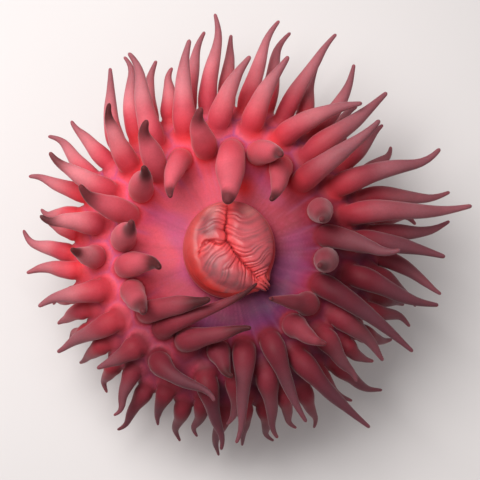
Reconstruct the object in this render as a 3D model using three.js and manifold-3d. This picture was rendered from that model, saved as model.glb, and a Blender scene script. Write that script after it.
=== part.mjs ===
// Sea anemone, life size, standing on its foot with the tentacles spread.
// Millimetres, +Z up. The flat underside of the foot is at z = 0, with the body's axis on the Z axis.
// Bearings are in degrees about that axis, from +X towards +Y.
import * as THREE from 'three';
import { mergeVertices } from 'three/addons/utils/BufferGeometryUtils.js';
import Module from 'manifold-3d';

const wasm = await Module();
wasm.setup();

// Body, from the floor up.
const joint = 0.3; // thin cut between neighbouring pieces
const aroundBody = 28; // facets around the foot, column and disc
const aroundCrown = 24; // and around the crown and lips
const foot = { flat: 26.5, widest: 28, top: 5 };
const column = { foot: 24, waist: 21.6, waistHeight: 10.5, top: 18, shoulder: 24.8 };
const collar = { radius: 35.5, top: 24 };
const crown = { inner: 22, margin: 38.5, rim: 37.2, edge: 26.5 };
const disc = { rim: 37, floor: 36.3 };
const mouth = { x: 1.1, y: -0.5, halfWidth: 12, halfDepth: 12.8, base: 36.9, top: 46.2 };
const lobes = { x: 3.2, y: 0.2, halfWidth: 8.9, halfDepth: 10.9, slit: 0.5 };
const corner = { x: 11.2, y: -9.4, z: 41, radius: 2.3 };

// Three rings of tentacles. Climb is where a ring is rooted on the crown's rounded top: 0 at the
// disc, 90 at the margin. Stagger moves every other root of the ring in and out by that much.
const rings = {
  inner: { first: -4, climb: 13, stagger: 0, root: 3, tip: 0.8, lift: 0.36, settle: 0.36, sides: 6, steps: 7 },
  middle: { first: 3.5, climb: 38, stagger: 0, root: 2.75, tip: 0.65, lift: 0.34, settle: 0.32, sides: 6, steps: 5 },
  outer: { first: -0.25, climb: 75, stagger: 9, root: 2.25, tip: 0.6, lift: 0.3, settle: 0.34, sides: 5, steps: 4 },
};

// The pose, one row for each tentacle in order of bearing: the tip's bearing, reach from the axis
// and height above the floor, then how far the root is turned from its even place, and its lift.
const innerPose = [
  [341, 25, 60, -3], [355, 43.5, 49, -4], [8, 24.5, 60, -4], [37, 50, 50], [36, 15.5, 55], [55, 25, 58],
  [84, 10.5, 53.5], [103, 33, 55], [144, 18, 54], [126, 36, 54], [140, 25, 59], [163, 38, 54],
  [174, 22.5, 59], [200, 16.5, 55], [224, 27, 56, -1], [257, 15.5, 53, -1, 0.45], [304, 15.5, 53, -3],
  [287, 22.5, 50, -4, 0.45], [272, 34, 47], [275, 50, 40], [294, 49, 38], [312, 36, 52], [306, 19, 54],
  [332, 55, 38, -2],
];
const middlePose = [
  [359, 57, 38], [9, 65, 38, -3], [23, 61, 42, -4], [43, 59, 40], [48, 52, 44], [73, 52, 46],
  [84, 50, 46], [101, 56, 42], [115, 57, 42], [132, 47, 48], [154, 51, 44], [173, 47, 46],
  [185, 38, 50], [196, 50, 38], [210, 51, 28], [224, 45, 36], [267, 39, 43, -4, 0.5], [270, 51, 30, 3],
  [273, 45, 31, 2], [285, 50, 29], [308, 59, 32], [315, 48, 36], [327, 50, 32, -4], [344, 57, 34],
];
const outerPose = [
  [350, 58, 30], [6, 60, 30], [13, 53, 19], [14, 62, 28], [33, 55, 22], [39, 55, 30], [52, 55, 22],
  [54, 62, 32], [66, 59, 28], [64, 65, 38], [76, 64, 28], [78, 64, 36], [89, 61, 28], [91, 64, 36],
  [96, 63, 26], [107, 52, 34], [111, 58, 26], [116, 59, 34], [122, 61, 27], [140, 54, 34], [144, 58, 26],
  [158, 56, 32], [167, 51, 26], [171, 48, 34], [175, 55, 26], [184, 52, 32], [194, 48, 20], [201, 48, 24],
  [206, 47, 19], [216, 48, 20], [226, 48, 18], [237, 51, 32], [239, 54, 20], [247, 48, 24], [254, 50, 16],
  [260, 48, 22], [266, 52, 13], [276, 50, 17], [283, 50, 15], [291, 49, 22], [299, 51, 16], [309, 51, 24],
  [318, 55, 18], [322, 48, 28], [333, 50, 18], [341, 52, 26], [346, 50, 16], [347, 53, 21],
];
const archedReach = 30; // an inner tentacle whose tip stays within this arches over the disc
const archedCut = 0.58; // such a tentacle is made in two lengths, cut here along it

const radians = THREE.MathUtils.degToRad;

function fleshMaterial(colour) {
  return new THREE.MeshStandardMaterial({ color: colour, roughness: 0.45, metalness: 0 });
}
const materials = {
  body: fleshMaterial('#9c3a48'),
  crown: fleshMaterial('#bb4654'),
  disc: fleshMaterial('#b24560'),
  lip: fleshMaterial('#d8564e'),
  tentacle: fleshMaterial('#c25a64'),
  tentacleTip: fleshMaterial('#82464a'),
};

const object = new THREE.Group();

// A closed geometry as a solid for the boolean cuts and joins, with its faces turned outwards.
function solidFrom(geometry) {
  geometry.deleteAttribute('normal');
  geometry.deleteAttribute('uv');
  const merged = mergeVertices(geometry, 1e-4);
  const at = merged.attributes.position.array;
  const corners = Uint32Array.from(merged.index.array);
  const kept = [];
  let sixVolumes = 0;
  for (let i = 0; i < corners.length; i += 3) {
    const [a, b, c] = corners.slice(i, i + 3);
    if (a === b || b === c || c === a) continue;
    kept.push(a, b, c);
    const p = new THREE.Vector3().fromArray(at, 3 * a);
    const q = new THREE.Vector3().fromArray(at, 3 * b);
    sixVolumes += p.dot(q.cross(new THREE.Vector3().fromArray(at, 3 * c)));
  }
  if (sixVolumes < 0) kept.reverse();
  const mesh = new wasm.Mesh({
    numProp: 3, vertProperties: Float32Array.from(at), triVerts: Uint32Array.from(kept),
  });
  return new wasm.Manifold(mesh);
}

function addPiece(name, solid, material) {
  const { vertProperties, triVerts } = solid.getMesh();
  const geometry = new THREE.BufferGeometry();
  geometry.setAttribute('position', new THREE.Float32BufferAttribute(Array.from(vertProperties), 3));
  geometry.setIndex(Array.from(triVerts));
  geometry.computeVertexNormals();
  const mesh = new THREE.Mesh(geometry, material);
  mesh.name = name;
  object.add(mesh);
}

// A profile of [radius, height] pairs turned about the Z axis.
function turned(profile, around = aroundBody) {
  const points = profile.map(([radius, height]) => new THREE.Vector2(radius, height));
  return new THREE.LatheGeometry(points, around).rotateX(Math.PI / 2);
}

// An upright prism of a flat outline of [x, y] pairs.
function prism(outline, bottom, top) {
  const shape = new THREE.Shape(outline.map(([x, y]) => new THREE.Vector2(x, y)));
  return new THREE.ExtrudeGeometry(shape, { depth: top - bottom, bevelEnabled: false }).translate(0, 0, bottom);
}

// The foot and column are a little out of round; the swelling fades out under the crown.
function swollen(geometry) {
  const at = geometry.attributes.position;
  for (let i = 0; i < at.count; i++) {
    const bearing = Math.atan2(at.getY(i), at.getX(i));
    const fade = 1 - THREE.MathUtils.smoothstep(at.getZ(i), 12, collar.top);
    const swell = 1 + fade * (0.03 * Math.cos(2 * bearing - 0.7) + 0.02 * Math.cos(3 * bearing + 1.2));
    at.setXY(i, at.getX(i) * swell, at.getY(i) * swell);
  }
  return geometry;
}

// Foot, column and collar.
addPiece('foot', solidFrom(swollen(turned([
  [0, 0], [foot.flat, 0], [foot.widest, 1.4], [column.foot + 1, 4.3], [column.foot, foot.top], [0, foot.top],
]))), materials.body);

addPiece('column', solidFrom(swollen(turned([
  [0, foot.top + joint], [column.foot, foot.top + joint], [column.waist, column.waistHeight],
  [column.waist + 1.2, 15.5], [column.shoulder, column.top], [0, column.top],
]))), materials.body);

addPiece('collar', solidFrom(swollen(turned([
  [0, column.top + joint], [column.shoulder, column.top + joint], [column.shoulder + 3.4, 20.8],
  [collar.radius, collar.top], [0, collar.top],
]))), materials.body);

// The crown's rounded top: a quarter of an ellipse from the disc's edge to the margin.
function crownPoint(bearing, climb) {
  const radius = crown.inner + (crown.margin - crown.inner) * Math.sin(radians(climb));
  const height = crown.edge + (crown.rim - crown.edge) * Math.cos(radians(climb));
  const outwards = (crown.rim - crown.edge) * Math.sin(radians(climb));
  const upwards = (crown.margin - crown.inner) * Math.cos(radians(climb));
  const cos = Math.cos(radians(bearing));
  const sin = Math.sin(radians(bearing));
  return {
    point: new THREE.Vector3(radius * cos, radius * sin, height),
    normal: new THREE.Vector3(outwards * cos, outwards * sin, upwards).normalize(),
  };
}

// Where a tentacle is rooted; an index off either end of the ring carries on round it.
function rootBearing(ringName, index, pose) {
  const [, , , turn = 0] = pose.at(index % pose.length);
  return rings[ringName].first + (360 / pose.length) * index + turn;
}

// The line of one tentacle: it leaves the crown squarely and bends over to its tip. It begins
// `start` above the crown's surface, or below it where start is negative.
function tentacleLine(ringName, index, pose, start) {
  const ring = rings[ringName];
  const [tipBearing, reach, height, , lift = ring.lift] = pose[index];
  const climb = ring.climb + (index % 2 ? -ring.stagger : ring.stagger);
  const { point, normal } = crownPoint(rootBearing(ringName, index, pose), climb);
  const tip = new THREE.Vector3(reach * Math.cos(radians(tipBearing)), reach * Math.sin(radians(tipBearing)), height);
  const length = tip.distanceTo(point);
  const back = point.clone().sub(tip).setLength(ring.settle * length);
  const path = new THREE.CurvePath();
  const above = point.clone().addScaledVector(normal, Math.max(start, 0));
  if (start < 0) path.add(new THREE.LineCurve3(point.clone().addScaledVector(normal, start), point));
  path.add(new THREE.CubicBezierCurve3(
    above, point.clone().addScaledVector(normal, lift * length), tip.clone().add(back), tip,
  ));
  return path;
}

// One length of a line, from one fraction of it to another.
class Stretch extends THREE.Curve {
  constructor(line, from, to) {
    super();
    Object.assign(this, { line, from, to });
  }

  getPoint(fraction, target = new THREE.Vector3()) {
    return target.copy(this.line.getPointAt(this.from + (this.to - this.from) * fraction));
  }
}

// A round body along a stretch: a section of radius 1 is drawn along it and then drawn in, ring by ring.
function tapered(stretch, radiusAt, sides, steps) {
  const corners = Array.from({ length: sides }, (_, k) => {
    const angle = (2 * Math.PI * k) / sides;
    return new THREE.Vector2(Math.cos(angle), Math.sin(angle));
  });
  const geometry = new THREE.ExtrudeGeometry(new THREE.Shape(corners), {
    steps, curveSegments: 1, bevelEnabled: false, extrudePath: stretch,
  });
  const centres = stretch.getSpacedPoints(steps);
  const at = geometry.attributes.position;
  const vertex = new THREE.Vector3();
  for (let i = 0; i < at.count; i++) {
    vertex.fromBufferAttribute(at, i);
    const misses = centres.map((centre, k) => {
      const along = stretch.getTangentAt(k / steps);
      const offset = vertex.clone().sub(centre);
      return Math.abs(offset.length() - 1) + Math.abs(offset.dot(along));
    });
    const k = misses.indexOf(Math.min(...misses));
    vertex.sub(centres[k]).multiplyScalar(radiusAt(k / steps)).add(centres[k]);
    at.setXYZ(i, vertex.x, vertex.y, vertex.z);
  }
  return solidFrom(geometry);
}

// A tentacle swells a little above its root and tapers to a rounded tip.
function tentacleRadius(ring, fraction) {
  const taper = ring.tip + (ring.root - ring.tip) * (1 - fraction) ** 0.9;
  return taper * (1 + 0.06 * Math.sin(Math.PI * Math.min(1, 2.2 * fraction)));
}

function tentacleSolid(ringName, index, pose, start, from = 0, to = 1) {
  const ring = rings[ringName];
  const steps = Math.max(2, Math.round(ring.steps * (to - from)));
  const stretch = new Stretch(tentacleLine(ringName, index, pose, start), from, to);
  return tapered(stretch, (along) => tentacleRadius(ring, from + (to - from) * along), ring.sides, steps);
}

// The crown, cut into twelve like sectors. Each carries two middle and four outer tentacles, and each
// cut runs between tentacles: first between those of the middle ring, then between the outer ones.
const crownSection = [
  [crown.inner, collar.top + joint], [crown.inner, crown.rim],
  ...[30, 60, 90].map((climb) => {
    const { point } = crownPoint(0, climb);
    return [point.x, point.z];
  }),
  [crown.margin - 0.8, crown.edge - 1.6], [crown.margin - 3, collar.top + joint], [crown.inner, collar.top + joint],
];
const crownRing = solidFrom(turned(crownSection, aroundCrown));
const sectors = 12;
const kink = 33.5; // radius at which a cut passes from the middle ring to the outer one

function cutLine(sector, side) {
  const before = rootBearing('middle', 2 * sector - 1, middlePose);
  const middle = (before + rootBearing('middle', 2 * sector, middlePose)) / 2;
  const outer = rings.outer.first + 360 * ((4 * sector - 0.5) / outerPose.length);
  const offset = (side * joint) / 2;
  return [[10, middle], [kink, middle], [kink + 1.5, outer], [60, outer]].map(([radius, bearing]) => {
    const angle = radians(bearing);
    return [
      radius * Math.cos(angle) - offset * Math.sin(angle),
      radius * Math.sin(angle) + offset * Math.cos(angle),
    ];
  });
}

for (let sector = 0; sector < sectors; sector++) {
  const wedge = prism([...cutLine(sector, 1), ...cutLine(sector + 1, -1).reverse()], 0, 60);
  let solid = crownRing.intersect(solidFrom(wedge));
  for (const [ringName, pose, count] of [['middle', middlePose, 2], ['outer', outerPose, 4]]) {
    for (let k = 0; k < count; k++) {
      solid = solid.add(tentacleSolid(ringName, count * sector + k, pose, -1.5));
    }
  }
  addPiece(`crown_sector_${String(sector + 1).padStart(2, '0')}`, solid, materials.crown);
}

// The inner tentacles, each a piece of its own.
innerPose.forEach(([, reach], index) => {
  const name = `tentacle_${String(index + 1).padStart(2, '0')}`;
  if (reach > archedReach) {
    addPiece(name, tentacleSolid('inner', index, innerPose, joint), materials.tentacle);
    return;
  }
  const length = tentacleLine('inner', index, innerPose, joint).getLength();
  addPiece(name, tentacleSolid('inner', index, innerPose, joint, 0, archedCut), materials.tentacle);
  addPiece(
    `${name}_tip`, tentacleSolid('inner', index, innerPose, joint, archedCut + joint / length, 1),
    materials.tentacleTip,
  );
});

// The disc, dished a little round the mouth.
addPiece('disc', solidFrom(turned([
  [0, collar.top + joint], [crown.inner - joint, collar.top + joint], [crown.inner - joint, disc.rim],
  [18, disc.floor + 0.1], [14, disc.floor], [0, disc.floor],
])), materials.disc);

// The swollen lips: a dome set on the disc, cut by the bent slit of the mouth into a smooth rim
// and three lobes.
const domeProfile = [
  [0, mouth.base], [0.9, mouth.base], [1, mouth.base + 3], [0.86, mouth.base + 6.3], [0.6, mouth.base + 8.3],
  [0.25, mouth.top - 0.1], [0, mouth.top],
];
const dome = solidFrom(turned(domeProfile, aroundCrown).scale(mouth.halfWidth, mouth.halfDepth, 1).translate(mouth.x, mouth.y, 0));

function ovalPrism(oval, grown) {
  const outline = Array.from({ length: 16 }, (_, k) => {
    const angle = (2 * Math.PI * k) / 16;
    return [
      oval.x + (oval.halfWidth + grown) * Math.cos(angle), oval.y + (oval.halfDepth + grown) * Math.sin(angle),
    ];
  });
  return solidFrom(prism(outline, 30, 50));
}

const slitTop = [[0.6, 16], [0.6, 8], [0.6, 0.9]];
const slitRight = [[0.6, 0.9], [3.3, -2.6], [6.6, -6.5], [9, -9.4], [16, -14]];
const slitLeft = [[0.6, 0.9], [-1.5, 0.2], [-3.8, 0.9], [-6.2, -1], [-16, -4]];

function slitCut(line) {
  const across = (k) => {
    const [ax, ay] = line[Math.max(0, k - 1)];
    const [bx, by] = line[Math.min(line.length - 1, k + 1)];
    return new THREE.Vector2(ay - by, bx - ax).setLength(lobes.slit / 2);
  };
  const one = line.map(([x, y], k) => [x + across(k).x, y + across(k).y]);
  const other = line.map(([x, y], k) => [x - across(k).x, y - across(k).y]);
  return solidFrom(prism([...one, ...other.reverse()], 30, 50));
}

const cornerBall = (grown) => solidFrom(
  new THREE.SphereGeometry(corner.radius + grown, 8, 6).translate(corner.x, corner.y, corner.z),
);
const rimSolid = dome.subtract(ovalPrism(lobes, joint)).subtract(cornerBall(joint));
const lobesSolid = [slitTop, slitRight, slitLeft].reduce(
  (solid, line) => solid.subtract(slitCut(line)), dome.intersect(ovalPrism(lobes, 0)).subtract(cornerBall(joint)),
);
const lobeOutlines = {
  lip_lobe_right: [...slitTop, ...slitRight.slice(1), [20, 16]],
  lip_lobe_upper: [...slitTop, ...slitLeft.slice(1), [-16, 16]],
  lip_lobe_lower: [...slitLeft.slice().reverse(), ...slitRight.slice(1), [16, -20], [-16, -20]],
};
addPiece('lip_rim', rimSolid, materials.lip);
for (const [name, outline] of Object.entries(lobeOutlines)) {
  addPiece(name, lobesSolid.intersect(solidFrom(prism(outline, 30, 50))), materials.lip);
}
addPiece('lip_corner', cornerBall(0), materials.lip);

export default object;
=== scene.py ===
import math

import bmesh
import bpy
import numpy as np
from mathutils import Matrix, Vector
from mathutils.geometry import delaunay_2d_cdt


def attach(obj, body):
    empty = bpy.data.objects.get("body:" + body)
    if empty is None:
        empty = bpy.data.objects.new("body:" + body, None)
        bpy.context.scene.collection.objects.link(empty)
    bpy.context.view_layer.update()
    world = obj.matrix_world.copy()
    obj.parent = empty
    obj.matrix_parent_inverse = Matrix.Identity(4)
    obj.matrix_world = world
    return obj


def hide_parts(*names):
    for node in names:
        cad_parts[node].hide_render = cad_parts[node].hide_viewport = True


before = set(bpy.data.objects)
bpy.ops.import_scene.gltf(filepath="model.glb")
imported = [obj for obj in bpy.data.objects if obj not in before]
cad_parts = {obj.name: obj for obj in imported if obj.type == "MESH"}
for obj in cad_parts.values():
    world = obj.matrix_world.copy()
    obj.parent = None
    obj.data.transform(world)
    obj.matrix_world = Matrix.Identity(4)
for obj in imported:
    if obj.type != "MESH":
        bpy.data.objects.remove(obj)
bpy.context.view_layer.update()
mm = 0.001  # sizes below are in millimetres, and each mesh is made in metres


def smoothStep(low, high, value):
    share = np.clip((value - low) / (high - low), 0, 1)
    return share * share * (3 - 2 * share)


def bell(distance, width):
    return np.exp(-(distance / width) ** 2)


def screenColour(red, green, blue):
    # a colour picked on a screen, 0 to 255, as the linear values that a shader takes
    share = np.array([red, green, blue]) / 255
    return np.where(share <= 0.04045, share / 12.92, ((share + 0.055) / 1.055) ** 2.4)


def runningSum(steps):
    return np.concatenate([[0], np.cumsum(steps)])


def lengthAlong(points):
    return runningSum(np.linalg.norm(np.diff(points, axis=0), axis=1))


def placesAt(lengths, run, points):
    return np.column_stack([np.interp(lengths, run, column) for column in points.T])


def smoothLine(points, spacing):
    # a curve through the given points, in even steps
    points = np.array(points, float)
    ends = np.vstack([2 * points[0] - points[1], points, 2 * points[-1] - points[-2]])
    t = np.linspace(0, 1, 24, endpoint=False)[:, None]
    pieces = []
    for a, b, c, d in zip(ends, ends[1:], ends[2:], ends[3:]):
        pieces.append(0.5 * (2 * b + (c - a) * t + (2 * a - 5 * b + 4 * c - d) * t ** 2
                             + (3 * b - a - 3 * c + d) * t ** 3))
    dense = np.vstack(pieces + [points[-1:]])
    run = lengthAlong(dense)
    return placesAt(np.linspace(0, run[-1], max(2, int(run[-1] / spacing) + 1)), run, dense)


def ripple(place, scale, seed, waves=9):
    # soft random unevenness between about -1 and 1: a few seeded waves laid over one another
    draw = np.random.default_rng(seed)
    total = np.zeros(len(place))
    for _ in range(waves):
        direction = draw.normal(size=place.shape[1])
        direction /= np.linalg.norm(direction)
        quicker = draw.uniform(0.6, 1.5)
        start = draw.uniform(0, 2 * math.pi)
        total += np.sin(place @ direction * 2 * math.pi / scale * quicker + start)
    return total / math.sqrt(waves / 2) / 1.6


def nearLine(place, line):
    # distance from each point to a bent line, and how far along the line the nearest place is
    best = np.full(len(place), 1e9)
    along = np.zeros(len(place))
    run = 0.0
    for a, b in zip(line, line[1:]):
        edge = b - a
        length = np.linalg.norm(edge)
        share = np.clip((place - a) @ edge / length ** 2, 0, 1)
        distance = np.linalg.norm(place - a - share[:, None] * edge, axis=1)
        closer = distance < best
        best[closer] = distance[closer]
        along[closer] = run + share[closer] * length
        run += length
    return best, along


# the body's sizes, as the solids have them
body = {
    "mouth": (1.1, -0.5), "lipHalfWidth": 12.0, "lipHalfDepth": 12.8,
    # the lips from the top outwards: share of the half width, height
    "lips": [(0, 46.2), (0.25, 46.1), (0.6, 45.15), (0.86, 43.1), (0.98, 40.6), (0.985, 38.6), (0.97, 37.4)],
    # the disc: share of the mouth's offset, half width, half depth, height
    "disc": [(1, 12.3, 13.0, 36.75), (0.85, 13.6, 14.2, 36.4), (0.5, 16.4, 16.7, 36.35),
             (0.15, 19.4, 19.5, 36.6), (0, 22.6, 22.6, 36.95)],
    "crownInner": 22, "crownMargin": 38.5, "crownRim": 37.2, "crownEdge": 26.5,
    # under the margin and down the column: radius, height
    "column": [(37.9, 24.9), (35.3, 23.7), (31.6, 22.3), (28.2, 20.7), (25.1, 18.1), (23, 15.2),
               (21.8, 12.4), (21.6, 10.2), (22.4, 7.4), (24, 5), (26.2, 3.2), (27.8, 1.7), (27.9, 0.7),
               (27.2, 0.08), (26.5, 0)],
    # the column is round above one height and swells out of round below another: waves, size, turn
    "roundAbove": 24, "unevenBelow": 12, "swells": [(2, 0.03, -0.7), (3, 0.02, 1.2)],
    "mapRadius": 600,  # of the flat map that the skin is joined up on
}


def crownPoint(bearing, climb):
    # a place on the crown and the direction straight out of it
    turn, around = math.radians(climb), math.radians(bearing)
    width = body["crownMargin"] - body["crownInner"]
    rise = body["crownRim"] - body["crownEdge"]
    level = np.array([math.cos(around), math.sin(around), 0])
    point = level * (body["crownInner"] + width * math.sin(turn))
    point[2] = body["crownEdge"] + rise * math.cos(turn)
    normal = level * (rise * math.sin(turn))
    normal[2] = width * math.cos(turn)
    return point, normal / np.linalg.norm(normal)


def bodyStations():
    # down the body from the middle of the mouth: share of the mouth's offset, half width, half depth, height
    lips = [(1, share * body["lipHalfWidth"], share * body["lipHalfDepth"], height)
            for share, height in body["lips"]]
    arc = [crownPoint(0, climb)[0] for climb in range(15, 91, 15)]
    crown = [(0, radius, radius, height) for radius, _, height in arc]
    column = [(0, radius, radius, height) for radius, height in body["column"]]
    line = smoothLine(lips + body["disc"] + crown + column, 0.1)
    mean = (line[:, 1] + line[:, 2]) / 2
    run = runningSum(np.hypot(np.diff(mean), np.diff(line[:, 3])))
    # the flat map's radius, chosen so that small shapes keep their proportions on it
    middle = np.maximum((mean[1:] + mean[:-1]) / 2, 0.05)
    spread = runningSum(np.diff(run) / middle)
    flat = np.exp(spread - spread[-1]) * body["mapRadius"]
    flat[0] = 0
    return {"line": line, "run": run, "mean": mean, "flat": flat}


def runAt(radius, height):
    gap = np.hypot(stations["mean"] - radius, stations["line"][:, 3] - height)
    return stations["run"][np.argmin(gap)]


# a place on the body is a bearing round it and a run down it from the middle of the mouth
stations = bodyStations()
runs = {
    "lipEdge": runAt(12, 37.6),
    "discEdge": runAt(22, 36.9),
    "margin": runAt(body["crownMargin"], body["crownEdge"]),
    "end": stations["run"][-1],
}


def meanRadius(run):
    return np.interp(run, stations["run"], stations["mean"])


def plainSurface(bearing, run):
    # the body's place before its relief
    offset, wide, deep, height = (np.interp(run, stations["run"], column) for column in stations["line"].T)
    offset = np.clip(offset, 0, 1)
    x = offset * body["mouth"][0] + wide * np.cos(bearing)
    y = offset * body["mouth"][1] + deep * np.sin(bearing)
    around = np.arctan2(y, x)
    uneven = 1 - smoothStep(body["unevenBelow"], body["roundAbove"], height)
    swell = 1 + uneven * sum(size * np.cos(waves * around + turn) for waves, size, turn in body["swells"])
    return np.column_stack([x * swell, y * swell, height])


def surfaceNormal(bearing, run):
    little = 0.02
    alongRun = plainSurface(bearing, run + little) - plainSurface(bearing, np.maximum(run - little, 0))
    turn = little / np.maximum(meanRadius(run), 0.05)
    aroundBody = plainSurface(bearing + turn, run) - plainSurface(bearing - turn, run)
    normal = np.cross(alongRun, aroundBody)
    normal[np.linalg.norm(normal, axis=1) < 1e-9] = (0, 0, 1)
    return normal / np.linalg.norm(normal, axis=1)[:, None]


# the lines of the mouth's slit and of the fold beside it, seen from above
slits = {
    "top": [(0.9, 11.6), (0.7, 9.6), (0.35, 6.1), (0.2, 3.4), (0.4, 0.7)],
    "right": [(0.4, 0.7), (1.6, -0.4), (2.9, -2.4), (3.9, -3.7), (5.9, -6.3), (6.9, -7.0), (8.4, -8.5),
              (9.7, -9.4)],
    "left": [(0.4, 0.7), (-1.2, -0.3), (-3.2, 0.4), (-4.7, 0.6), (-5.6, -0.2), (-6.2, -1.3), (-6.3, -2.4)],
    "fold": [(3.4, -3.7), (2.6, -4.7), (1.1, -6.2), (-0.4, -7.0)],
}
lip = {
    "slitDepth": 1.4, "slitWidth": 0.3, "valleyDepth": 0.6, "valleyWidth": 1.3,
    "foldDepth": 0.6, "foldWidth": 0.25, "shallow": ("left", "fold"), "shallowShare": 0.6,
    "ovalX": 3.4, "ovalY": 0.5, "ovalWide": 10.4, "ovalDeep": 12.2,
    # millimetres from pleat to pleat, but degrees on the lower lip, whose pleats fan out from a point
    "rightPleat": 1.3, "tighter": 0.012, "upperPleat": 1.6, "lowerPleat": 4.1, "fanX": 9, "fanY": 9,
    "sag": 2.1, "sagOver": 9, "uneven": 0.28, "scallop": 0.2, "creaseShare": 0.24, "softFrom": (1.2, 4.5),
    "pleatHeight": {"right": 0.6, "upper": 0.7, "lower": 0.4},
    "pleatsEnd": (3.0, 9.5), "upperPleatsEnd": (2.0, 5.0),
    "swell": 0.5, "groove": 0.16, "welt": 0.3, "lumps": 0.12,
    "cornerPlace": (10.1, -10.0, 41), "cornerSize": 2.4, "cornerHeight": 2.1,
    "cornerFolds": 4.5, "cornerFoldHeight": 2.4, "cornerHole": 0.9,
    "bandAt": 0.8, "bandWide": 0.24,
}


def lipLobes(x, y, lines):
    # which of the three lips each point is on
    meetX, meetY = slits["top"][-1]
    topX = np.interp(y, lines["top"][::-1, 1], lines["top"][::-1, 0])
    rightY = np.interp(x, lines["right"][:, 0], lines["right"][:, 1])
    leftY = np.interp(x, lines["left"][::-1, 0], lines["left"][::-1, 1])
    right = np.where(y > meetY, x > topX, x > meetX) & (y > rightY)
    upper = ~right & (((x < meetX) & (y > leftY)) | ((y > meetY) & (x >= 0.2)))
    return {"right": right, "upper": upper, "lower": ~right & ~upper}


def lipPleats(x, y, lobes, slit, wobble):
    # broad rounded ridges with thin creases between them, softer away from the slits
    meetX = slits["top"][-1][0]
    # the right lip's pleats sag in their middle and crowd together towards the corner
    sagged = y + lip["sag"] * np.sin(math.pi * np.clip((x - meetX) / lip["sagOver"], 0, 1.25)) + 0.5 * wobble
    fan = np.degrees(np.arctan2(lip["fanY"] - y, lip["fanX"] - x))
    phases = {
        "right": sagged / lip["rightPleat"] - lip["tighter"] * sagged ** 2,
        "upper": (y - 0.12 * x + 0.45 * wobble) / lip["upperPleat"],
        "lower": fan / lip["lowerPleat"] + 0.5 * wobble,
    }
    pleat, fine, stripe, height = np.zeros((4, len(x)))
    for name, chosen in lobes.items():
        phase = phases[name][chosen]
        phase += lip["uneven"] * np.sin(2.1 * phase)
        toCrease = np.abs(phase - np.round(phase)) * 2
        sharp = 0.5 - 0.5 * np.exp(-(toCrease / lip["creaseShare"]) ** 1.6)
        sharp += 0.5 * np.sqrt(1 - (1 - toCrease) ** 2)
        soft = 0.5 - 0.5 * np.cos(2 * math.pi * phase)
        away = smoothStep(*lip["softFrom"], slit[chosen])
        pleat[chosen] = sharp * (1 - away) + soft * away
        stripe[chosen] = 0.5 + 0.5 * np.cos(2 * math.pi * phase + 0.8 * np.sin(1.7 * phase))
        fine[chosen] = np.abs(np.sin(math.pi * (2.5 * phase + 0.3 * np.sin(3 * phase)))) ** 0.5
        height[chosen] = lip["pleatHeight"][name] * (0.8 + 0.3 * np.sin(2.4 * np.floor(phase + 0.5) + 1))
    return pleat, fine, stripe, height


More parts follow.
